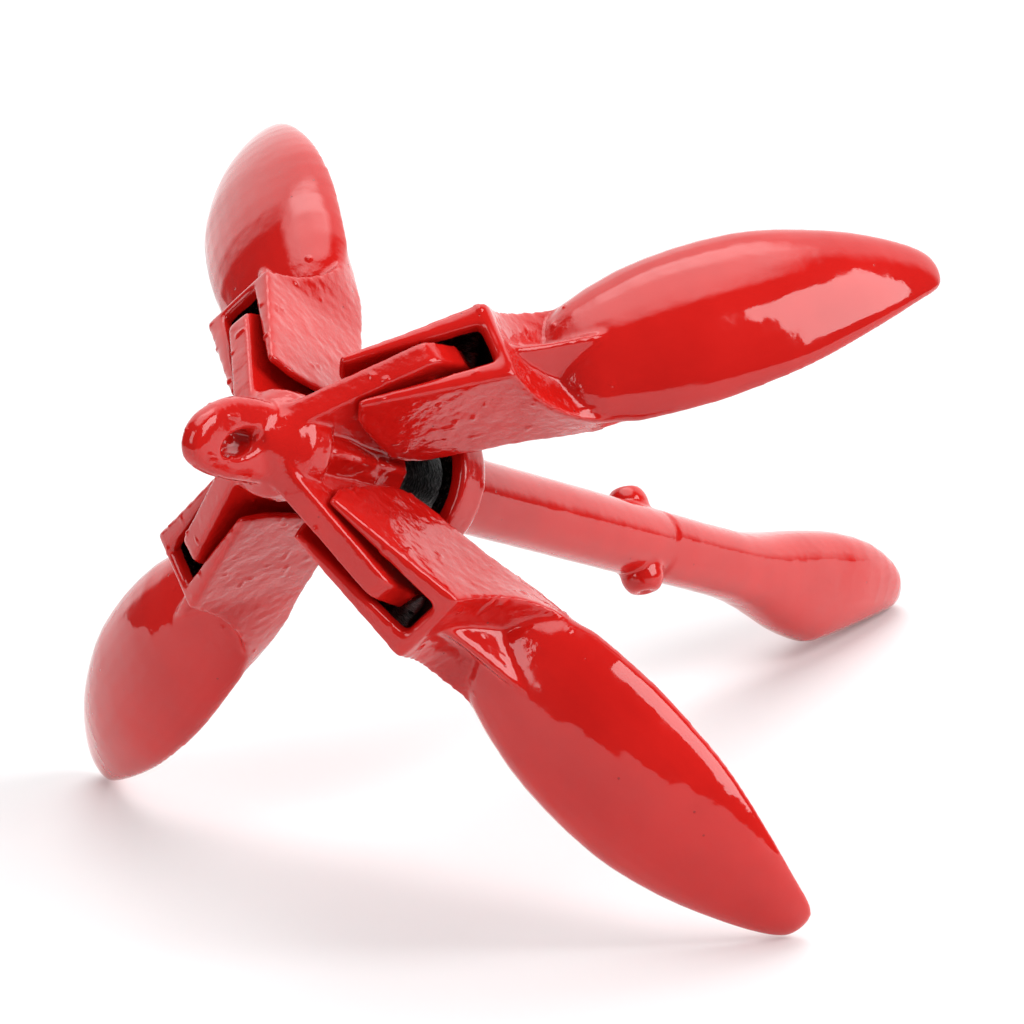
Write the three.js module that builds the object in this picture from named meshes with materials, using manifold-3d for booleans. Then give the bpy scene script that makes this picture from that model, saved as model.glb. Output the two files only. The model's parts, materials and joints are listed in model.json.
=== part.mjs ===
// Folding grapnel anchor, open and lying on the ground: a cast crown and shank
// with four hinge lugs, four forked flukes on pivot pins, a sliding locking
// collar, and a flared rope end held in the shank by a cross pin.
// Units are millimetres. The anchor is built along its shank (+Z from the crown
// to the rope end), then laid down on its two lower flukes and its rope end.
import * as THREE from 'three';
import { mergeVertices } from 'three/addons/utils/BufferGeometryUtils.js';
import Module from 'manifold-3d';

const wasm = await Module();
wasm.setup();

// ---- driving dimensions ----------------------------------------------------
const UNIT = 17.5; // outer width of a fluke's fork, the anchor's modulus
const GAP = 0.3; // clearance between parts that touch

const SHANK_RADIUS = 8;
const SEAM_Z = 142; // where the rope end meets the shank
const END_Z = 262;
const SPIGOT_RADIUS = 5.6;
const SPIGOT_LENGTH = 22;

const PIVOT = { r: 18.4, z: 22.35 }; // fluke hinge, from the shank axis and crown datum
const PIVOT_PIN_RADIUS = 3.2;
const PIVOT_PIN_LENGTH = 11.6;
const LUG_BORE_RADIUS = 4.1;
const LUG_THICKNESS = 5.25;

const SLOT_WIDTH = 8.4;
const SLOT_END_X = 14.5;
const FORK_FRONT_Z = -UNIT;
const FORK_INNER_X = -14;
const FORK_OUTER_X = 17.15;
const SCOOP = { x: 46.3, z: -26.9, radius: 30.7 };

const CROSS_PIN = { radius: 3.9, reach: 12.1, z: 136.2, azimuth: 288 };
const COLLAR = {
  mouthZ: 38.7, height: 9.6, radius: 17.4, recessRadius: 14, recessDepth: 4.8, boreRadius: 8.8,
};
const TRIP_HOLE = {
  y: 1.9, z: -16.4, halfLength: 4.8, halfWidth: 2.4, slant: 1.98, mouthLength: 6.3, mouthWidth: 3,
};
const PARTING_RIDGE_AZIMUTHS = [40, 220];

// Each loose fluke at rest: which way it points round the shank, how far it sweeps
// back towards the rope end, and how far it leans over sideways in its slot.
const FLUKES = [
  { azimuth: 0, sweep: 41.0, lean: 4.9 },
  { azimuth: 90, sweep: 33.9, lean: -4.7 },
  { azimuth: 180, sweep: 29.3, lean: 6.0 },
  { azimuth: 270, sweep: 32.9, lean: -5.4 },
];

// How the anchor lies: the shank's slope to the ground, and its roll about itself.
const SHANK_SLOPE = 23.23;
const UP_AZIMUTH = -44.47;

const PAINT = new THREE.MeshStandardMaterial({ color: 0xb30d0c, roughness: 0.22, metalness: 0 });
const BARE_STEEL = new THREE.MeshStandardMaterial({ color: 0x2a2a2c, roughness: 0.55, metalness: 0.8 });

// ---- solids ----------------------------------------------------------------
function toSolid(geometry) {
  const bare = geometry.clone();
  bare.deleteAttribute('normal');
  bare.deleteAttribute('uv');
  const merged = mergeVertices(bare, 1e-4);
  const triVerts = new Uint32Array(merged.index.array);
  const vertProperties = new Float32Array(merged.attributes.position.array);
  return new wasm.Manifold(new wasm.Mesh({ numProp: 3, vertProperties, triVerts }));
}

function toGeometry(solid) {
  const mesh = solid.getMesh();
  const geometry = new THREE.BufferGeometry();
  geometry.setAttribute('position', new THREE.BufferAttribute(mesh.vertProperties, 3));
  geometry.setIndex(new THREE.BufferAttribute(mesh.triVerts, 1));
  geometry.computeVertexNormals();
  return geometry;
}

// A closed skin over a row of equal rings of points, with a fan on each end.
function skin(rings) {
  const count = rings[0].length;
  const points = rings.flat();
  const faces = [];
  for (let i = 0; i < rings.length - 1; i += 1) {
    for (let j = 0; j < count; j += 1) {
      const a = i * count + j;
      const b = i * count + ((j + 1) % count);
      faces.push(a, b, b + count, a, b + count, a + count);
    }
  }
  const ends = [[rings[0], 0, true], [rings.at(-1), points.length - count, false]];
  for (const [ring, first, flip] of ends) {
    const middle = ring.reduce((sum, p) => sum.add(p), new THREE.Vector3()).divideScalar(count);
    const hub = points.push(middle) - 1;
    for (let j = 0; j < count; j += 1) {
      const a = first + j;
      const b = first + ((j + 1) % count);
      faces.push(...(flip ? [b, a, hub] : [a, b, hub]));
    }
  }
  const geometry = new THREE.BufferGeometry().setFromPoints(points);
  geometry.setIndex(faces);
  return geometry;
}

// A value read off a smooth curve through (station, value) pairs.
function curve(pairs) {
  return (x) => {
    let i = pairs.findIndex(([station]) => station > x);
    if (i === -1) i = pairs.length - 1;
    i = Math.max(i, 1);
    const [p1, p2] = [pairs[i - 1], pairs[i]];
    const p0 = pairs[Math.max(i - 2, 0)];
    const p3 = pairs[Math.min(i + 1, pairs.length - 1)];
    const span = p2[0] - p1[0];
    const t = THREE.MathUtils.clamp((x - p1[0]) / span, 0, 1);
    const slope = (a, b) => (b[0] === a[0] ? 0 : ((b[1] - a[1]) / (b[0] - a[0])) * span);
    const [m1, m2] = [slope(p0, p2), slope(p1, p3)];
    const [t2, t3] = [t * t, t * t * t];
    return (2 * t3 - 3 * t2 + 1) * p1[1] + (t3 - 2 * t2 + t) * m1
      + (3 * t2 - 2 * t3) * p2[1] + (t3 - t2) * m2;
  };
}

function cylinder(radius, length, sides = 32) {
  return new THREE.CylinderGeometry(radius, radius, length, sides);
}

// A pin along Z with its ends rounded over.
function roundedPin(radius, length, round) {
  const half = length / 2;
  const profile = [new THREE.Vector2(0, -half)];
  for (const end of [-1, 1]) {
    for (let i = 0; i <= 3; i += 1) {
      const turn = (end < 0 ? i : 3 - i) * (Math.PI / 6);
      const r = radius - round * (1 - Math.sin(turn));
      profile.push(new THREE.Vector2(r, end * (half - round * (1 - Math.cos(turn)))));
    }
  }
  profile.push(new THREE.Vector2(0, half));
  return new THREE.LatheGeometry(profile, 32).rotateX(Math.PI / 2);
}

// ---- crown and shank ---------------------------------------------------------
function lug(azimuth) {
  const outline = new THREE.Shape();
  outline.moveTo(0, -11.6);
  outline.lineTo(31.4, 7.8);
  outline.quadraticCurveTo(33.2, 8.9, 33.4, 11.2);
  outline.lineTo(34.3, 18);
  outline.lineTo(33, 22.6);
  outline.quadraticCurveTo(30, 33, 18.4, 33.5);
  outline.lineTo(0, 29);
  outline.closePath();
  const plate = new THREE.ExtrudeGeometry(outline, {
    depth: LUG_THICKNESS, bevelEnabled: false, curveSegments: 6,
  });
  plate.translate(0, 0, -LUG_THICKNESS / 2).rotateX(Math.PI / 2);
  const bore = cylinder(LUG_BORE_RADIUS, 2 * LUG_THICKNESS, 28).translate(PIVOT.r, 0, PIVOT.z);
  const turn = THREE.MathUtils.degToRad(azimuth);
  return toSolid(plate.rotateZ(turn)).subtract(toSolid(bore.rotateZ(turn)));
}

// The round core: a cone under the trip eye, the hub, and the shank as far as the seam.
function shankCore() {
  const profile = [
    [0, -13], [3.5, -11.5], [8.6, -6.2], [10.6, -3.4], [10.8, 1.6], [10.2, 3.2], [SHANK_RADIUS, 5.4],
    [SHANK_RADIUS, SEAM_Z], [SPIGOT_RADIUS + GAP, SEAM_Z],
    [SPIGOT_RADIUS + GAP, SEAM_Z - SPIGOT_LENGTH - GAP], [0, SEAM_Z - SPIGOT_LENGTH - GAP],
  ].map(([r, z]) => new THREE.Vector2(r, z));
  return toSolid(new THREE.LatheGeometry(profile, 48).rotateX(Math.PI / 2));
}

// One of the wedge-shaped ridges the mould's parting line left on the core behind the
// hub: it necks in halfway and ends in front of the collar.
function partingRidge(azimuth) {
  const crest = curve([[4, 10.7], [9, 11], [15, 9.9], [20, 8.7], [22, 8.5], [23.6, 9.1], [31.4, 9.1]]);
  const halfWidth = curve([[4, 4.9], [9, 4.7], [15, 3.9], [20, 2.7], [22, 2.5], [23.6, 3.1], [31.4, 3.1]]);
  const stations = [4, 6, 9, 12, 15, 18, 20, 22, 23.6, 27, 31.4];
  const rings = stations.map((z) => [
    new THREE.Vector3(crest(z), -0.35, z),
    new THREE.Vector3(crest(z), 0.35, z),
    new THREE.Vector3(6.6, halfWidth(z), z),
    new THREE.Vector3(3, 0, z),
    new THREE.Vector3(6.6, -halfWidth(z), z),
  ]);
  return toSolid(skin(rings).rotateZ(THREE.MathUtils.degToRad(azimuth)));
}

// A flat bar along Z lying in the plane midway between two lugs: its two edges and its
// half thickness are curves along Z, and its sections are squarish ellipses, a true
// ellipse where the roundness is 1.
function flatBar(stations, lowEdge, highEdge, thickness, roundness, sides) {
  const swell = (value) => Math.sign(value) * Math.abs(value) ** roundness;
  const rings = stations.map((z) => {
    const middle = (highEdge(z) + lowEdge(z)) / 2;
    const half = (highEdge(z) - lowEdge(z)) / 2;
    const ring = [];
    for (let j = 0; j < sides; j += 1) {
      const turn = (j / sides) * 2 * Math.PI;
      const x = thickness(z) * swell(Math.cos(turn));
      ring.push(new THREE.Vector3(x, middle + half * swell(Math.sin(turn)), z));
    }
    return ring;
  });
  return skin(rings).rotateZ(Math.PI / 4);
}

function tripEye() {
  const lowEdge = curve([
    [-28.7, 2.7], [-28.1, 0.6], [-26.4, -1.8], [-22.6, -4.6], [-17.5, -6.7], [-12, -7.4],
    [-6, -7.3], [-2, -7.5],
  ]);
  const highEdge = curve([
    [-28.7, 3.7], [-28.1, 5.6], [-26.4, 7.3], [-22.6, 8.6], [-17.5, 9], [-11.5, 8.8],
    [-6, 8.2], [-2, 7.6],
  ]);
  const thickness = curve([
    [-28.7, 0.9], [-27.9, 2], [-25.5, 2.8], [-18, 3.1], [-12, 3.7], [-7, 5], [-2, 7.2],
  ]);
  const stations = [-28.7, -28.4, -27.8, -26.7, -25.2, -23, -20, -17, -14, -11, -8, -5, -2];
  return toSolid(flatBar(stations, lowEdge, highEdge, thickness, 0.64, 28));
}

// The trip eye's slanted oval hole, opening out at both faces.
function tripEyeCuts() {
  const { y, z, halfLength, halfWidth, slant, mouthLength, mouthWidth } = TRIP_HOLE;
  const oval = new THREE.Shape();
  oval.absellipse(y, z, halfLength, halfWidth, 0, 2 * Math.PI, false, slant);
  const hole = new THREE.ExtrudeGeometry(oval, { depth: 20, bevelEnabled: false, curveSegments: 28 });
  const cuts = [hole.translate(0, 0, -10).rotateX(Math.PI / 2).rotateZ(Math.PI / 2)];
  for (const side of [-1, 1]) {
    const mouth = new THREE.SphereGeometry(1, 24, 16).scale(1.9, mouthLength, mouthWidth);
    cuts.push(mouth.rotateX(slant).translate(side * 3.6, y, z));
  }
  return cuts.map((cut) => toSolid(cut.rotateZ(Math.PI / 4)));
}

function crossPinBore(radius) {
  const bore = cylinder(radius, 4 * SHANK_RADIUS, 28).rotateZ(Math.PI / 2).translate(0, 0, CROSS_PIN.z);
  return toSolid(bore.rotateZ(THREE.MathUtils.degToRad(CROSS_PIN.azimuth)));
}

function crownShank() {
  let solid = shankCore().add(tripEye());
  for (const { azimuth } of FLUKES) solid = solid.add(lug(azimuth));
  for (const azimuth of PARTING_RIDGE_AZIMUTHS) solid = solid.add(partingRidge(azimuth));
  for (const cut of tripEyeCuts()) solid = solid.subtract(cut);
  return solid.subtract(crossPinBore(CROSS_PIN.radius + GAP));
}

// ---- rope end --------------------------------------------------------------
function ropeEnd() {
  const lowEdge = curve([
    [142, -SHANK_RADIUS], [178, -SHANK_RADIUS], [192, -9.3], [208, -12], [226, -14.2], [240, -14.2],
    [250, -12.3], [257, -9.6], [END_Z, -5.6],
  ]);
  const highEdge = curve([
    [142, SHANK_RADIUS], [178, SHANK_RADIUS], [192, 9.5], [206, 12.2], [215, 13.1], [221, 12.9],
    [240, 6.6], [255, 1.2], [END_Z, -1.2],
  ]);
  const thickness = curve([
    [142, SHANK_RADIUS], [178, SHANK_RADIUS], [200, 7.9], [226, 7.9], [240, 7.4], [250, 6.2],
    [257, 4.6], [END_Z, 1.8],
  ]);
  const stations = [
    SEAM_Z + GAP, 160, 178, 185, 192, 200, 206, 211, 215, 218, 221, 226, 233, 240, 246, 251, 255,
    258, 260.4, END_Z,
  ];
  const body = toSolid(flatBar(stations, lowEdge, highEdge, thickness, 0.82, 36));
  const spigot = cylinder(SPIGOT_RADIUS, SPIGOT_LENGTH + 2, 36).rotateX(Math.PI / 2);
  spigot.translate(0, 0, SEAM_Z + 2 - (SPIGOT_LENGTH + 2) / 2);
  return body.add(toSolid(spigot)).subtract(crossPinBore(CROSS_PIN.radius + GAP));
}

// ---- locking collar ------------------------------------------------------------
function lockingCollar() {
  const back = COLLAR.mouthZ + COLLAR.height;
  const floor = COLLAR.mouthZ + COLLAR.recessDepth;
  const profile = [
    [COLLAR.boreRadius, back], [COLLAR.boreRadius, floor], [COLLAR.recessRadius - 1, floor],
    [COLLAR.recessRadius, floor - 1], [COLLAR.recessRadius, COLLAR.mouthZ + 0.6],
    [COLLAR.recessRadius + 0.8, COLLAR.mouthZ], [COLLAR.radius - 0.8, COLLAR.mouthZ],
    [COLLAR.radius, COLLAR.mouthZ + 0.6], [COLLAR.radius, back - 2.4], [COLLAR.radius - 0.7, back - 0.8],
    [COLLAR.radius - 2.2, back], [COLLAR.boreRadius, back],
  ].map(([r, z]) => new THREE.Vector2(r, z));
  const ring = new THREE.LatheGeometry(profile, 56).rotateX(Math.PI / 2);
  // Two notches in the bore let the collar past the ends of the cross pin.
  const [reach, width] = [CROSS_PIN.reach + 0.9, 2 * CROSS_PIN.radius + 1.4];
  const notch = new THREE.BoxGeometry(2 * reach, width, 4 * COLLAR.height);
  notch.translate(0, 0, back).rotateZ(THREE.MathUtils.degToRad(CROSS_PIN.azimuth));
  return toSolid(ring).subtract(toSolid(notch));
}

// ---- fluke -----------------------------------------------------------------------
// A fluke's own frame has its origin on the hinge axis: +X out along the fork's flat
// front face, Y across it, and +Z towards the back, the side that folds to the shank.
function forkFront(x) {
  if (x <= FORK_OUTER_X) return FORK_FRONT_Z;
  return SCOOP.z + Math.sqrt(SCOOP.radius ** 2 - (SCOOP.x - Math.min(x, SCOOP.x)) ** 2);
}

function fork() {
  const frontHalf = curve([
    [-14, 5.95], [17.15, 8.9], [20, 9.9], [25.4, 12], [30.6, 13.2], [36, 14], [42, 14.8],
  ]);
  const backHalf = curve([[-14, 5.95], [-4, 6.5], [17.15, 8.4], [26, 9.5], [34, 10.8], [42, 11.8]]);
  const back = curve([
    [-14, -10.9], [-12, -5], [-8.4, 3.2], [-3.4, 9.6], [1, 10.9], [12, 10.8], [30, 11], [42, 8.6],
  ]);
  const stations = [
    FORK_INNER_X, -12, -8.4, -5.6, -3.4, 1, FORK_OUTER_X - 0.6, FORK_OUTER_X + 0.4, 18.4, 20, 22.5,
    25.4, 28, 30.6, 33.3, 36, 39, 42,
  ];
  const rings = stations.map((x) => [
    new THREE.Vector3(x, -frontHalf(x), forkFront(x)),
    new THREE.Vector3(x, frontHalf(x), forkFront(x)),
    new THREE.Vector3(x, backHalf(x), back(x)),
    new THREE.Vector3(x, -backHalf(x), back(x)),
  ]);
  return toSolid(skin(rings));
}

function blade() {
  const half = curve([
    [24, 1.6], [28.6, 7], [32, 10.8], [36, 13.6], [42, 15.8], [49, 17], [61, 17.8], [73.5, 17.1],
    [83, 15.4], [93, 12.5], [101.5, 9.4], [107, 7.2], [111, 5.4], [113.4, 3.6], [114.2, 1.6],
  ]);
  const edge = curve([
    [24, 4], [32, 2.2], [42, 2.3], [49, 0.9], [61, -0.3], [73.5, -1.4], [83, -1.1], [93, -0.4],
    [101.5, 1], [107, 2.5], [111, 4.2], [114.2, 5.8],
  ]);
  const front = curve([
    [24, 0], [30, -3.6], [35, -5.7], [42, -7.8], [52, -9.5], [61, -10], [73.5, -9.5], [83, -8.3],
    [93, -6], [101.5, -3], [107, -0.5], [111, 1.8], [113.4, 3.8], [114.2, 5],
  ]);
  const back = curve([
    [24, 8], [36, 8.6], [45, 5.8], [60, 3], [75, 1.9], [90, 2.6], [103, 4.8], [111, 6.8], [114.2, 6.9],
  ]);
  const stations = [
    24, 28.6, 32, 36, 42, 49, 55, 61, 67, 73.5, 78, 83, 88, 93, 97.5, 101.5, 104.5, 107, 109, 111,
    112.4, 113.4, 114.2,
  ];
  const sides = 28;
  const rings = stations.map((x) => {
    const ring = [];
    for (let j = 0; j < sides; j += 1) {
      const turn = (j / sides) * 2 * Math.PI + Math.PI;
      const rise = Math.sin(turn);
      const crest = rise < 0 ? front(x) : back(x);
      const full = Math.abs(rise) ** 1.15;
      ring.push(new THREE.Vector3(x, half(x) * Math.cos(turn), edge(x) + (crest - edge(x)) * full));
    }
    return ring;
  });
  return toSolid(skin(rings));
}

// The roof-shaped rib from the fork's front face out to the blade.
function neckRib() {
  const ridge = curve([
    [16, -17], [17.4, -16.4], [19, -13.2], [22.4, -10.9], [30.5, -8.9], [41, -7], [46, -4.6],
  ]);
  const stations = [16, 17.4, 19, 20.6, 22.4, 26, 30.5, 36, 41, 46];
  const rings = stations.map((x) => {
    const [top, foot] = [ridge(x), 8];
    const reach = (foot - top) / 1.6;
    return [
      new THREE.Vector3(x, -0.5, top),
      new THREE.Vector3(x, 0.5, top),
      new THREE.Vector3(x, Math.min(reach, 8.6), foot),
      new THREE.Vector3(x, -Math.min(reach, 8.6), foot),
    ];
  });
  return toSolid(skin(rings));
}

function flukeCasting() {
  const slot = new THREE.BoxGeometry(60, SLOT_WIDTH, 80).translate(SLOT_END_X - 30, 0, 0);
  const pinPocket = cylinder(PIVOT_PIN_RADIUS + GAP, PIVOT_PIN_LENGTH + 2 * GAP, 28);
  return fork().add(blade()).add(neckRib()).subtract(toSolid(slot)).subtract(toSolid(pinPocket));
}

// ---- assembly ----------------------------------------------------------------------
function piece(name, geometry, material) {
  const mesh = new THREE.Mesh(geometry, material);
  mesh.name = name;
  return mesh;
}

function flukeAssembly(index, casting) {
  const { azimuth, sweep, lean } = FLUKES[index];
  const rad = THREE.MathUtils.degToRad;
  const hinge = new THREE.Group();
  hinge.position.set(PIVOT.r, 0, PIVOT.z);
  hinge.rotation.set(0, -rad(sweep), 0);
  const loose = new THREE.Group();
  loose.rotation.z = rad(lean);
  loose.add(piece(`fluke_${index + 1}`, casting, PAINT));
  const pin = roundedPin(PIVOT_PIN_RADIUS, PIVOT_PIN_LENGTH, 0.5).rotateX(Math.PI / 2);
  loose.add(piece(`pivot_pin_${index + 1}`, pin, BARE_STEEL));
  hinge.add(loose);
  const turned = new THREE.Group();
  turned.rotation.z = rad(azimuth);
  turned.add(hinge);
  return turned;
}

function crossPin() {
  const pin = roundedPin(CROSS_PIN.radius, 2 * CROSS_PIN.reach, 1.2).rotateY(Math.PI / 2);
  pin.rotateZ(THREE.MathUtils.degToRad(CROSS_PIN.azimuth));
  return pin.translate(0, 0, CROSS_PIN.z);
}

function anchor() {
  const model = new THREE.Group();
  model.add(piece('crown_shank', toGeometry(crownShank()), PAINT));
  model.add(piece('rope_end', toGeometry(ropeEnd()), PAINT));
  model.add(piece('cross_pin', crossPin(), PAINT));
  model.add(piece('locking_collar', toGeometry(lockingCollar()), PAINT));
  const casting = toGeometry(flukeCasting());
  FLUKES.forEach((_, index) => model.add(flukeAssembly(index, casting)));
  return model;
}

// Lay the shank along +X, rope end down, with the two lower flukes under it.
function layDown(model) {
  const rad = THREE.MathUtils.degToRad;
  const rolled = new THREE.Group();
  rolled.rotation.z = rad(180 - UP_AZIMUTH);
  rolled.add(model);
  const laid = new THREE.Group();
  laid.rotation.y = rad(90 + SHANK_SLOPE);
  laid.add(rolled);
  const standing = new THREE.Group();
  standing.add(laid);
  standing.updateMatrixWorld(true);
  const box = new THREE.Box3().setFromObject(standing, true);
  const middle = box.getCenter(new THREE.Vector3());
  standing.position.set(-middle.x, -middle.y, -box.min.z);
  return standing;
}

export default layDown(anchor());
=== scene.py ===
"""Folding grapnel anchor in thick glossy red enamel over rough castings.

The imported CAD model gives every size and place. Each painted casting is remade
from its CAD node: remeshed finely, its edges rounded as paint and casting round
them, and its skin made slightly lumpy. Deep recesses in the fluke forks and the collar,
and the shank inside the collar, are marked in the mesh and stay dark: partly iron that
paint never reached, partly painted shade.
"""
import json
import math

import bmesh
import bpy
import numpy as np
from mathutils import Matrix, Vector


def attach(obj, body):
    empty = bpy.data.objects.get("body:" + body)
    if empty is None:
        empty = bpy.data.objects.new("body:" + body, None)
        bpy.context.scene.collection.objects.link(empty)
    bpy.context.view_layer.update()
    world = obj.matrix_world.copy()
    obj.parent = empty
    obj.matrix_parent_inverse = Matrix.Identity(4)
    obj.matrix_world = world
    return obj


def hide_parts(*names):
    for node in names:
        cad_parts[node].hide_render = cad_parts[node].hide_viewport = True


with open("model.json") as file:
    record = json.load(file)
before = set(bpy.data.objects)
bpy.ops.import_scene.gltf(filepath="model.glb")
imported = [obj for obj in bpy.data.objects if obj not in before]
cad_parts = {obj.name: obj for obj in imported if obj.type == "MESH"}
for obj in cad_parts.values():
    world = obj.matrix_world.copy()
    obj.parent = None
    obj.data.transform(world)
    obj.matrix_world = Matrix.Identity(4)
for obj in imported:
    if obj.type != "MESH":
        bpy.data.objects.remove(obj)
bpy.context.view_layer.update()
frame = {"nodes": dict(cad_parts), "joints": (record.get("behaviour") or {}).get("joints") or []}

MM = 0.001

# ---- the anchor's own dimensions, in millimetres, as the CAD model has them ----
PIVOT_Z = 22.35  # height of the fluke hinges above the crown datum, along the shank
FLUKES = {  # azimuth round the shank, sweep back from square, lean in the slot, in degrees
    "fluke_1": (0, 41.0, 4.9),
    "fluke_2": (90, 33.9, -4.7),
    "fluke_3": (180, 29.3, 6.0),
    "fluke_4": (270, 32.9, -5.4),
}
TAB_AZIMUTH = 45  # which way the flat of the trip eye's tab faces
EYE_SAG_AT = Vector((-4.0, 2.0, -11.2))  # out of the tab, across it, along the shank
EYE_SAG_RADIUS = 2.2
SHANK_RADIUS = 8.0
SEAM_Z = 142
CROSS_PIN_Z = 136.2
CROSS_PIN_AZIMUTH = 288
SLOT_HALF_WIDTH = 4.2
SLOT_END_X = 14.5
FORK_FRONT_Z = -17.5
COLLAR_MOUTH_Z = 38.7
COLLAR_RECESS_RADIUS = 14.0
BARE_AND_SHADED_SHANK_Z = (31.2, 48)  # the stretch of shank in the collar coloured dark: iron the paint never reached, and painted shade
BARE_AND_SHADED_SHANK_RADIUS = 10.0
CROWN_ROUGH_Z = (20, 50)  # the casting's skin smooths out over this stretch
FORK_END_X = (30, 42)  # the fork blends into the blade over this stretch

# ---- camera --------------------------------------------------------------------
CAMERA_AT = Vector((-0.6853, -0.4569, 0.3241))
CAMERA_LOOK = Vector((0.7822, 0.5428, -0.3058))
CAMERA_ROLL = math.radians(0.55)
CAMERA_LENS = 140.6  # on a 36 mm sensor

# ---- light -----------------------------------------------------------------------
TABLE_RADIUS = 0.55
TABLE_DROP = 0.0003  # keeps the table clear of the points that rest on it
BOX_DISTANCE = 1.9
BOX_AIM_HEIGHT = 0.06
SOFT_BOXES = {  # azimuth, elevation, width and height in degrees, radiance
    "box_right": (-76, 32, 40, 48, 5.4),
    "box_left": (172, 26, 26, 44, 3.6),
}
DIM_RADIANCE = 0.12
GLOWS = (  # azimuth, elevation, full and gone radius in degrees, radiance
    (29, 15, 46, 60, 1.2),
    (56, 76, 18, 32, 2.8),
)

# ---- surface of each casting -------------------------------------------------------
CASTINGS = {  # voxel in millimetres, smoothing passes that round the edges
    "crown_shank": (0.45, 12),
    "rope_end": (0.5, 8),
    "cross_pin": (0.4, 45),
    "locking_collar": (0.4, 9),
    **dict.fromkeys(FLUKES, (0.45, 26)),
}


# ---- frames of reference ---------------------------------------------------------
def joint(name):
    return next(j for j in frame["joints"] if j["name"] == name)


def anchor_matrix():
    """The matrix from the shank's own frame, +Z along the shank and +X at fluke_1, to the row frame."""
    pivots = [Vector(joint(f"{name}_fold")["pos_m"]) for name in FLUKES]
    along = Vector(joint("collar_slide")["axis"]).normalized()
    middle = sum(pivots, Vector()) / len(pivots)
    outward = (pivots[0] - middle).normalized()
    side = along.cross(outward)
    origin = middle - along * PIVOT_Z * MM
    turn = Matrix((outward, side, along)).transposed().to_4x4()
    return Matrix.Translation(origin) @ turn


def fluke_matrix(name):
    """The matrix from a fluke's own frame, at its hinge with +X along its fork, to the row frame."""
    azimuth, sweep, lean = (math.radians(v) for v in FLUKES[name])
    turn = (
        Matrix.Rotation(azimuth, 4, "Z")
        @ Matrix.Rotation(-sweep, 4, "Y")
        @ Matrix.Rotation(lean, 4, "Z")
    )
    place = anchor_matrix().to_3x3().to_4x4() @ turn
    return Matrix.Translation(Vector(joint(f"{name}_fold")["pos_m"])) @ place


# ---- smooth noise on arrays of points ------------------------------------------------
def lattice_value(cells, seed):
    """A repeatable value from -1 to 1 for each whole-number cell."""
    mixed = cells.astype(np.int64) @ np.array([73856093, 19349663, 83492791], np.int64)
    mixed = (mixed + seed * 2654435761) & 0xFFFFFFFF
    mixed = ((mixed ^ (mixed >> 15)) * 2246822519) & 0xFFFFFFFF
    mixed = ((mixed ^ (mixed >> 13)) * 3266489917) & 0xFFFFFFFF
    return (mixed ^ (mixed >> 16)) / 2147483648.0 - 1.0


def noise(points, size, seed):
    """Smooth noise from about -1 to 1, with lumps of the given size, at each point."""
    scaled = points / size
    cell = np.floor(scaled)
    part = scaled - cell
    ease = part * part * (3 - 2 * part)
    total = np.zeros(len(points))
    for corner in np.ndindex(2, 2, 2):
        offset = np.array(corner)
        weight = np.prod(np.where(offset, ease, 1 - ease), axis=1)
        total += weight * lattice_value(cell + offset, seed)
    return total


def smoothstep(low, high, value):
    t = np.clip((value - low) / (high - low), 0, 1)
    return t * t * (3 - 2 * t)


# ---- mesh helpers ---------------------------------------------------------------------
def new_object(name, mesh):
    obj = bpy.data.objects.new(name, mesh)
    bpy.context.scene.collection.objects.link(obj)
    return obj


def mesh_points(mesh):
    flat = np.empty(len(mesh.vertices) * 3)
    mesh.vertices.foreach_get("co", flat)
    return flat.reshape(-1, 3)


def mesh_normals(mesh):
    flat = np.empty(len(mesh.vertices) * 3)
    mesh.vertex_normals.foreach_get("vector", flat)
    return flat.reshape(-1, 3)


def local_points(points, matrix):
    """The points in the frame that matrix places, in millimetres."""
    inverse = np.array(matrix.inverted())
    return (points @ inverse[:3, :3].T + inverse[:3, 3]) / MM


def solid_cylinder(bm, radius, length, place):
    made = bmesh.ops.create_cone(
        bm, cap_ends=True, segments=48, radius1=radius * MM, radius2=radius * MM,
        depth=length * MM,
    )
    bmesh.ops.transform(bm, matrix=place, verts=made["verts"])


def casting(node, own_frame, extra=None):
    """A finely remeshed, edge-rounded copy of a CAD node; extra adds solids to it first.

    The remesh runs in the piece's own frame, so that its straight edges follow the voxels.
    """
    name = f"painted_{node}"
    voxel, rounding = CASTINGS[node]
    bm = bmesh.new()
    bm.from_mesh(frame["nodes"][node].data)
    if extra:
        extra(bm)
    bm.transform(own_frame.inverted())
    raw = bpy.data.meshes.new(name + "_raw")
    bm.to_mesh(raw)
    bm.free()
    obj = new_object(name, raw)
    remesh = obj.modifiers.new("remesh", "REMESH")
    remesh.mode = "VOXEL"
    remesh.voxel_size = voxel * MM
    smooth = obj.modifiers.new("smooth", "SMOOTH")
    smooth.factor = 0.5
    smooth.iterations = rounding
    graph = bpy.context.evaluated_depsgraph_get()
    mesh = bpy.data.meshes.new_from_object(obj.evaluated_get(graph))
    obj.modifiers.clear()
    obj.data = mesh
    bpy.data.meshes.remove(raw)
    mesh.transform(own_frame)
    mesh.name = name
    mesh.polygons.foreach_set("use_smooth", [True] * len(mesh.polygons))
    return obj


def push(obj, distance):
    """Moves each vertex along its normal by its distance in millimetres."""
    mesh = obj.data
    moved = mesh_points(mesh) + mesh_normals(mesh) * distance[:, None] * MM
    mesh.vertices.foreach_set("co", moved.ravel())
    mesh.update()


def mark(obj, name, values):
    layer = obj.data.attributes.new(name, "FLOAT", "POINT")
    layer.data.foreach_set("value", values.astype(np.float32))


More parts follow.
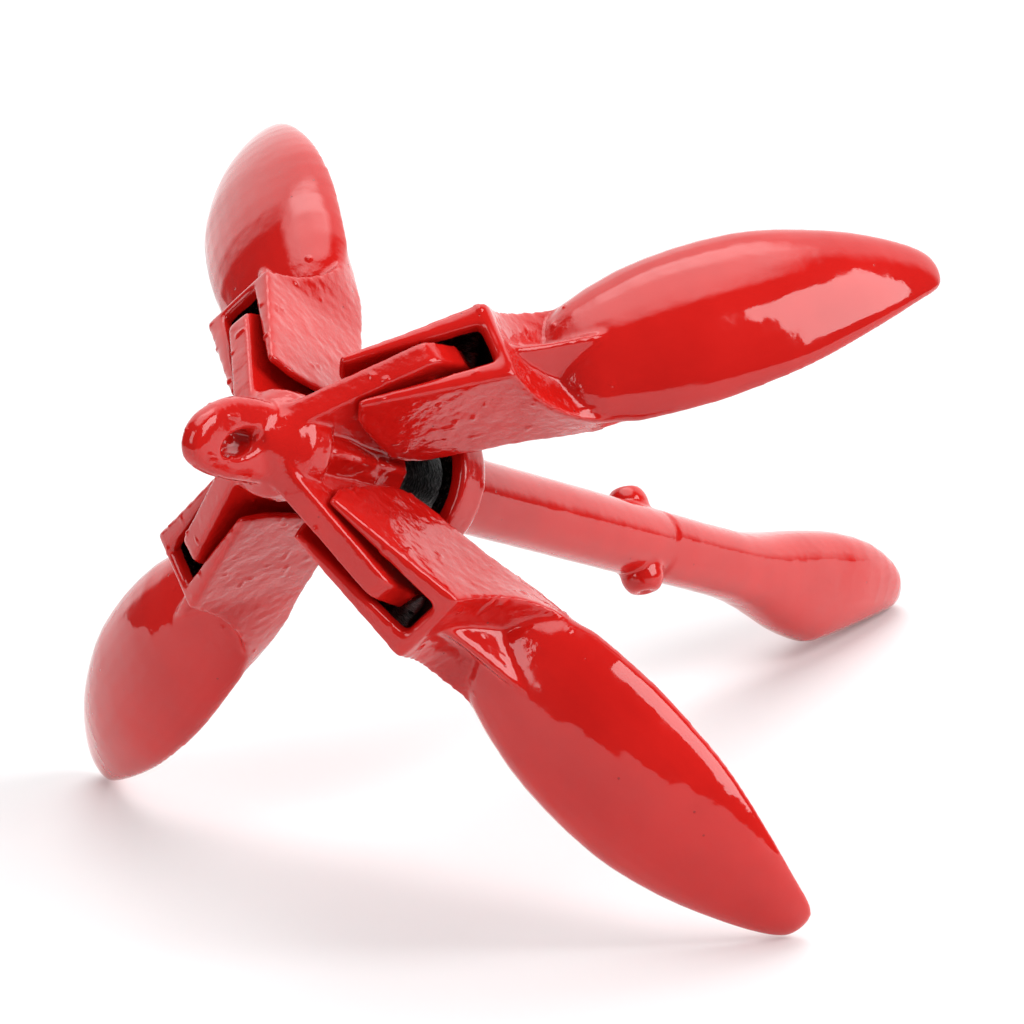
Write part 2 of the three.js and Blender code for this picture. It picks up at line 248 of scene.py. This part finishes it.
def lumps(points, rough, seed):
    """How far the cast and painted skin stands proud or sunk, in millimetres."""
    broad = noise(points, 11, seed) * 0.11
    middle = noise(points, 3.6, seed + 1) * (0.012 + 0.09 * rough)
    fine = noise(points, 1.5, seed + 2) * (0.003 + 0.07 * rough)
    nibs = smoothstep(0.62, 0.86, noise(points, 1.9, seed + 3)) * 0.28 * smoothstep(0.1, 0.5, rough)
    return broad + middle + fine + nibs


def dress(obj, node, body):
    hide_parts(node)
    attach(obj, body)


# ---- materials ---------------------------------------------------------------------------
class Graph:
    """A short way to lay shader nodes."""

    def __init__(self, name):
        self.material = bpy.data.materials.new(name)
        self.material.use_nodes = True
        self.tree = self.material.node_tree
        self.shader = self.tree.nodes["Principled BSDF"]
        coordinates = self.add("ShaderNodeTexCoord")
        self.place = coordinates.outputs["Object"]

    def add(self, kind, **settings):
        node = self.tree.nodes.new(kind)
        for key, value in settings.items():
            setattr(node, key, value)
        return node

    def join(self, source, target):
        self.tree.links.new(source, target)

    def noise(self, size_mm, detail=2.0, roughness=0.5):
        node = self.add("ShaderNodeTexNoise")
        node.inputs["Scale"].default_value = 1 / (size_mm * MM)
        node.inputs["Detail"].default_value = detail
        node.inputs["Roughness"].default_value = roughness
        self.join(self.place, node.inputs["Vector"])
        return node.outputs["Fac"]

    def spread(self, value, low, high, to_low, to_high):
        node = self.add("ShaderNodeMapRange", interpolation_type="SMOOTHSTEP")
        for key, number in (
            ("From Min", low), ("From Max", high), ("To Min", to_low), ("To Max", to_high),
        ):
            node.inputs[key].default_value = number
        self.join(value, node.inputs["Value"])
        return node.outputs["Result"]

    def math(self, operation, first, second):
        node = self.add("ShaderNodeMath", operation=operation)
        for socket, value in zip(node.inputs, (first, second)):
            if isinstance(value, (int, float)):
                socket.default_value = value
            else:
                self.join(value, socket)
        return node.outputs["Value"]

    def attribute(self, name):
        return self.add("ShaderNodeAttribute", attribute_name=name).outputs["Fac"]

    def mix_colour(self, factor, first, second):
        node = self.add("ShaderNodeMix", data_type="RGBA")
        self.join(factor, node.inputs["Factor"])
        for socket, value in ((node.inputs[6], first), (node.inputs[7], second)):
            if isinstance(value, tuple):
                socket.default_value = (*value, 1)
            else:
                self.join(value, socket)
        return node.outputs[2]

    def mix_value(self, factor, first, second):
        node = self.add("ShaderNodeMix", data_type="FLOAT")
        self.join(factor, node.inputs["Factor"])
        for socket, value in ((node.inputs[2], first), (node.inputs[3], second)):
            if isinstance(value, (int, float)):
                socket.default_value = value
            else:
                self.join(value, socket)
        return node.outputs[0]

    def bump(self, height, distance_mm, strength, below=None):
        node = self.add("ShaderNodeBump")
        node.inputs["Distance"].default_value = distance_mm * MM
        if isinstance(strength, (int, float)):
            node.inputs["Strength"].default_value = strength
        else:
            self.join(strength, node.inputs["Strength"])
        self.join(height, node.inputs["Height"])
        if below is not None:
            self.join(below, node.inputs["Normal"])
        return node.outputs["Normal"]


def painted_iron():
    """Glossy red enamel, dark iron where the mesh marks deep recesses (partly iron without paint,
    partly painted shade), and a rougher skin where it marks 'cast'.
    """
    g = Graph("red_enamel")
    bare_and_shade = g.attribute("bare_and_shade")
    cast = g.attribute("cast")
    cloud = g.noise(16, 3.0)
    red = g.mix_colour(g.spread(cloud, 0.3, 0.7, 0, 1), (0.49, 0.007, 0.005), (0.54, 0.009, 0.0065))
    # Specks: pinholes and dust under the paint.
    speck = g.add("ShaderNodeTexVoronoi", feature="F1")
    speck.inputs["Scale"].default_value = 1 / (5.5 * MM)
    g.join(g.place, speck.inputs["Vector"])
    pinhole = g.spread(speck.outputs["Distance"], 0.03, 0.06, 1, 0)
    red = g.mix_colour(g.math("MULTIPLY", pinhole, 0.6), red, (0.12, 0.004, 0.004))
    # Dark iron for the marked recesses: partly iron the paint never reached, partly painted shade where
    # the recesses fall dark.
    grit = g.noise(0.8, 3.0, 0.7)
    black = g.mix_colour(g.spread(grit, 0.5, 0.72, 0, 1), (0.006, 0.005, 0.005), (0.09, 0.08, 0.075))
    edge = g.noise(2.2, 3.0)
    ragged = g.math("ADD", bare_and_shade, g.math("MULTIPLY", g.math("SUBTRACT", edge, 0.5), 0.5))
    bare_and_shade_blend = g.spread(ragged, 0.42, 0.58, 0, 1)
    g.join(g.mix_colour(bare_and_shade_blend, red, black), g.shader.inputs["Base Color"])
    gloss = g.spread(g.noise(7, 4.0), 0.3, 0.75, 0.05, 0.10)
    rough = g.math("ADD", gloss, g.math("MULTIPLY", cast, 0.03))
    g.join(g.mix_value(bare_and_shade_blend, rough, 0.3), g.shader.inputs["Roughness"])
    g.join(bare_and_shade_blend, g.shader.inputs["Metallic"])
    # Long waves, orange peel and, on the rough castings, grain; deep grit on the dark recess iron.
    waves = g.bump(g.noise(6.0, 2.0), 0.3, 0.3)
    peel = g.bump(g.noise(1.4, 2.0), 0.12, g.math("ADD", 0.12, g.math("MULTIPLY", cast, 0.8)), waves)
    pits = g.bump(pinhole, -0.1, 0.5, peel)
    grain = g.bump(grit, 0.4, g.math("MULTIPLY", bare_and_shade_blend, 0.8), pits)
    g.join(grain, g.shader.inputs["Normal"])
    g.shader.inputs["IOR"].default_value = 1.5
    return g.material


def dark_steel():
    """The pivot pins, dull and without paint inside the forks."""
    g = Graph("dark_steel")
    grit = g.noise(0.9, 3.0, 0.6)
    g.join(
        g.mix_colour(g.spread(grit, 0.35, 0.7, 0, 1), (0.012, 0.012, 0.013), (0.06, 0.05, 0.045)),
        g.shader.inputs["Base Color"],
    )
    g.join(g.spread(g.noise(3, 3.0), 0.3, 0.7, 0.35, 0.6), g.shader.inputs["Roughness"])
    g.join(g.bump(grit, 0.2, 0.6), g.shader.inputs["Normal"])
    g.shader.inputs["Metallic"].default_value = 0.8
    return g.material


def floor_material():
    g = Graph("studio_floor")
    g.shader.inputs["Base Color"].default_value = (0.8, 0.8, 0.805, 1)
    g.shader.inputs["Roughness"].default_value = 0.6
    g.shader.inputs["Specular IOR Level"].default_value = 0.2
    return g.material


# ---- the pieces -----------------------------------------------------------------------------
def paint(obj, material):
    obj.data.materials.clear()
    obj.data.materials.append(material)


def painted_fluke(node, seed, material):
    obj = casting(node, fluke_matrix(node))
    at = local_points(mesh_points(obj.data), fluke_matrix(node))
    x, y, z = at.T
    on_fork = 1 - smoothstep(*FORK_END_X, x)
    front_rim = smoothstep(FORK_FRONT_Z + 0.5, FORK_FRONT_Z + 3, z)
    cheeks = on_fork * front_rim * smoothstep(4.6, 5.4, np.abs(y))
    push(obj, lumps(at, 0.05 + 0.35 * on_fork + 0.6 * cheeks, seed))
    # Dark iron deep inside the fork slot, past the front rim: partly iron the paint never reached,
    # partly painted shade.
    inside = 1 - smoothstep(SLOT_HALF_WIDTH + 0.2, SLOT_HALF_WIDTH + 0.8, np.abs(y))
    inside *= smoothstep(1, 5, x) * (1 - smoothstep(SLOT_END_X + 0.2, SLOT_END_X + 1, x))
    deep = smoothstep(FORK_FRONT_Z + 1.2, FORK_FRONT_Z + 4, z)
    mark(obj, "bare_and_shade", inside * deep)
    mark(obj, "cast", cheeks)
    paint(obj, material)
    dress(obj, node, f"{node}_body")


def pin_matrix():
    """The matrix from the cross pin's own frame, +Z along the pin, to the row frame."""
    return (
        anchor_matrix()
        @ Matrix.Translation((0, 0, CROSS_PIN_Z * MM))
        @ Matrix.Rotation(math.radians(CROSS_PIN_AZIMUTH), 4, "Z")
        @ Matrix.Rotation(math.radians(90), 4, "Y")
    )


def eye_sag(bm):
    """An invented run of paint at the far mouth of the trip eye, clear of its stated opening.

    It only closes the line of sight through the hole from the camera.
    """
    place = (
        anchor_matrix()
        @ Matrix.Rotation(math.radians(TAB_AZIMUTH), 4, "Z")
        @ Matrix.Translation(EYE_SAG_AT * MM)
    )
    bmesh.ops.create_uvsphere(
        bm, u_segments=24, v_segments=16, radius=EYE_SAG_RADIUS * MM, matrix=place
    )


def crown_fillets(bm):
    """Paint run into the trip eye and heaped round the cross pin where it leaves the shank."""
    eye_sag(bm)
    solid_cylinder(bm, 4.9, 16.8, pin_matrix())
    solid_cylinder(bm, 4.4, 18.6, pin_matrix())


def seam_filler(bm):
    """Paint over the joint between the shank and the rope end."""
    seam = anchor_matrix() @ Matrix.Translation((0, 0, SEAM_Z * MM))
    solid_cylinder(bm, SHANK_RADIUS, 4.4, seam)


def pin_skirts(bm):
    """Paint that widens the cross pin towards the shank, so that its ends are low domes."""
    solid_cylinder(bm, 4.9, 18.6, pin_matrix())
    solid_cylinder(bm, 4.5, 21.0, pin_matrix())


def pin_dimples(at):
    """How far the middle of each end of the cross pin is pressed in, in millimetres."""
    end = smoothstep(9.0, 10.0, np.abs(at[:, 2]))
    return -0.6 * end * (1 - smoothstep(0.4, 1.8, np.hypot(at[:, 0], at[:, 1])))


def painted_shank(material):
    place = anchor_matrix()
    crown = casting("crown_shank", place, crown_fillets)
    end = casting("rope_end", place, seam_filler)
    pin = casting("cross_pin", pin_matrix(), pin_skirts)
    push(pin, pin_dimples(local_points(mesh_points(pin.data), pin_matrix())))
    for obj, node in ((crown, "crown_shank"), (end, "rope_end"), (pin, "cross_pin")):
        at = local_points(mesh_points(obj.data), place)
        radius = np.hypot(at[:, 0], at[:, 1])
        rough = 0.5 - 0.4 * smoothstep(*CROWN_ROUGH_Z, at[:, 2])
        push(obj, lumps(at, rough, seed=70))
        # Dark iron on the shank inside the collar: partly iron the paint never reached, partly painted
        # shade.
        low, high = BARE_AND_SHADED_SHANK_Z
        in_collar = smoothstep(low, low + 1, at[:, 2]) * (1 - smoothstep(high - 1, high, at[:, 2]))
        near_axis = 1 - smoothstep(BARE_AND_SHADED_SHANK_RADIUS - 0.4, BARE_AND_SHADED_SHANK_RADIUS + 0.4, radius)
        mark(obj, "bare_and_shade", in_collar * near_axis)
        mark(obj, "cast", rough)
        paint(obj, material)
        dress(obj, node, "shank")


def painted_collar(material):
    obj = casting("locking_collar", anchor_matrix())
    at = local_points(mesh_points(obj.data), anchor_matrix())
    radius = np.hypot(at[:, 0], at[:, 1])
    rough = np.full(len(at), 0.4)
    push(obj, lumps(at, rough, 90))
    # Dark iron in the collar's cup behind its mouth: partly iron the paint never reached, partly
    # painted shade.
    inside = 1 - smoothstep(COLLAR_RECESS_RADIUS - 0.3, COLLAR_RECESS_RADIUS + 0.5, radius)
    mark(obj, "bare_and_shade", inside * smoothstep(COLLAR_MOUTH_Z + 0.4, COLLAR_MOUTH_Z + 1.2, at[:, 2]))
    mark(obj, "cast", rough)
    paint(obj, material)
    dress(obj, "locking_collar", "collar")


# ---- studio ------------------------------------------------------------------------------------
def heading(azimuth, elevation):
    a, e = math.radians(azimuth), math.radians(elevation)
    return Vector((math.cos(a) * math.cos(e), math.sin(a) * math.cos(e), math.sin(e)))


def soft_box(name, azimuth, elevation, width, height, radiance):
    """A soft box facing the anchor: width and height are degrees of sky as it sees them."""
    towards = heading(azimuth, elevation)
    light = bpy.data.lights.new(name, "AREA")
    light.shape = "RECTANGLE"
    light.size = 2 * BOX_DISTANCE * math.tan(math.radians(width / 2))
    light.size_y = 2 * BOX_DISTANCE * math.tan(math.radians(height / 2))
    light.energy = radiance * math.pi * light.size * light.size_y
    lamp = bpy.data.objects.new(name, light)
    lamp.location = towards * BOX_DISTANCE + Vector((0, 0, BOX_AIM_HEIGHT))
    lamp.rotation_mode = "QUATERNION"
    lamp.rotation_quaternion = towards.to_track_quat("Z", "Y")
    lamp.visible_camera = False
    bpy.context.scene.collection.objects.link(lamp)


def glow(tree, azimuth, elevation, full, gone, radiance):
    """A round soft-edged light in the surround: whole out to full degrees, nothing past gone."""
    place = tree.nodes.new("ShaderNodeTexCoord")
    towards = tree.nodes.new("ShaderNodeVectorMath")
    towards.operation = "DOT_PRODUCT"
    towards.inputs[1].default_value = heading(azimuth, elevation)
    tree.links.new(place.outputs["Generated"], towards.inputs[0])
    fade = tree.nodes.new("ShaderNodeMapRange")
    fade.interpolation_type = "SMOOTHSTEP"
    fade.inputs["From Min"].default_value = math.cos(math.radians(gone))
    fade.inputs["From Max"].default_value = math.cos(math.radians(full))
    fade.inputs["To Max"].default_value = radiance
    tree.links.new(towards.outputs["Value"], fade.inputs["Value"])
    return fade.outputs["Result"]


def surround():
    """A dim studio whose far side and ceiling glow; past the table the camera sees plain white."""
    world = bpy.data.worlds.new("studio")
    world.use_nodes = True
    tree = world.node_tree
    total = tree.nodes.new("ShaderNodeValue").outputs[0]
    total.default_value = DIM_RADIANCE
    for setting in GLOWS:
        added = tree.nodes.new("ShaderNodeMath")
        tree.links.new(total, added.inputs[0])
        tree.links.new(glow(tree, *setting), added.inputs[1])
        total = added.outputs["Value"]
    seen = tree.nodes.new("ShaderNodeLightPath")
    white = tree.nodes.new("ShaderNodeMath")
    white.operation = "MAXIMUM"
    tree.links.new(total, white.inputs[0])
    tree.links.new(seen.outputs["Is Camera Ray"], white.inputs[1])
    tree.links.new(white.outputs["Value"], tree.nodes["Background"].inputs["Strength"])
    tree.nodes["Background"].inputs["Color"].default_value = (1, 1, 1, 1)
    bpy.context.scene.world = world


def studio():
    for name, setting in SOFT_BOXES.items():
        soft_box(name, *setting)
    surround()


def floor():
    bm = bmesh.new()
    bmesh.ops.create_circle(bm, cap_ends=True, segments=96, radius=TABLE_RADIUS)
    mesh = bpy.data.meshes.new("floor")
    bm.to_mesh(mesh)
    bm.free()
    obj = new_object("floor", mesh)
    obj.location.z = -TABLE_DROP
    paint(obj, floor_material())


def camera():
    data = bpy.data.cameras.new("camera")
    data.sensor_width = 36
    data.lens = CAMERA_LENS
    data.clip_start = 0.01
    obj = bpy.data.objects.new("camera", data)
    obj.location = CAMERA_AT
    obj.rotation_mode = "QUATERNION"
    level = CAMERA_LOOK.to_track_quat("-Z", "Y")
    obj.rotation_quaternion = Matrix.Rotation(CAMERA_ROLL, 3, CAMERA_LOOK).to_quaternion() @ level
    bpy.context.scene.collection.objects.link(obj)
    bpy.context.scene.camera = obj


camera()
studio()
floor()
enamel = painted_iron()
steel = dark_steel()
painted_shank(enamel)
painted_collar(enamel)
for count, fluke in enumerate(FLUKES, start=1):
    painted_fluke(fluke, 10 * count, enamel)
    pivot_pin = frame["nodes"][f"pivot_pin_{count}"]
    pivot_pin.material_slots[0].material = steel
bpy.context.scene.view_settings.view_transform = "Standard"
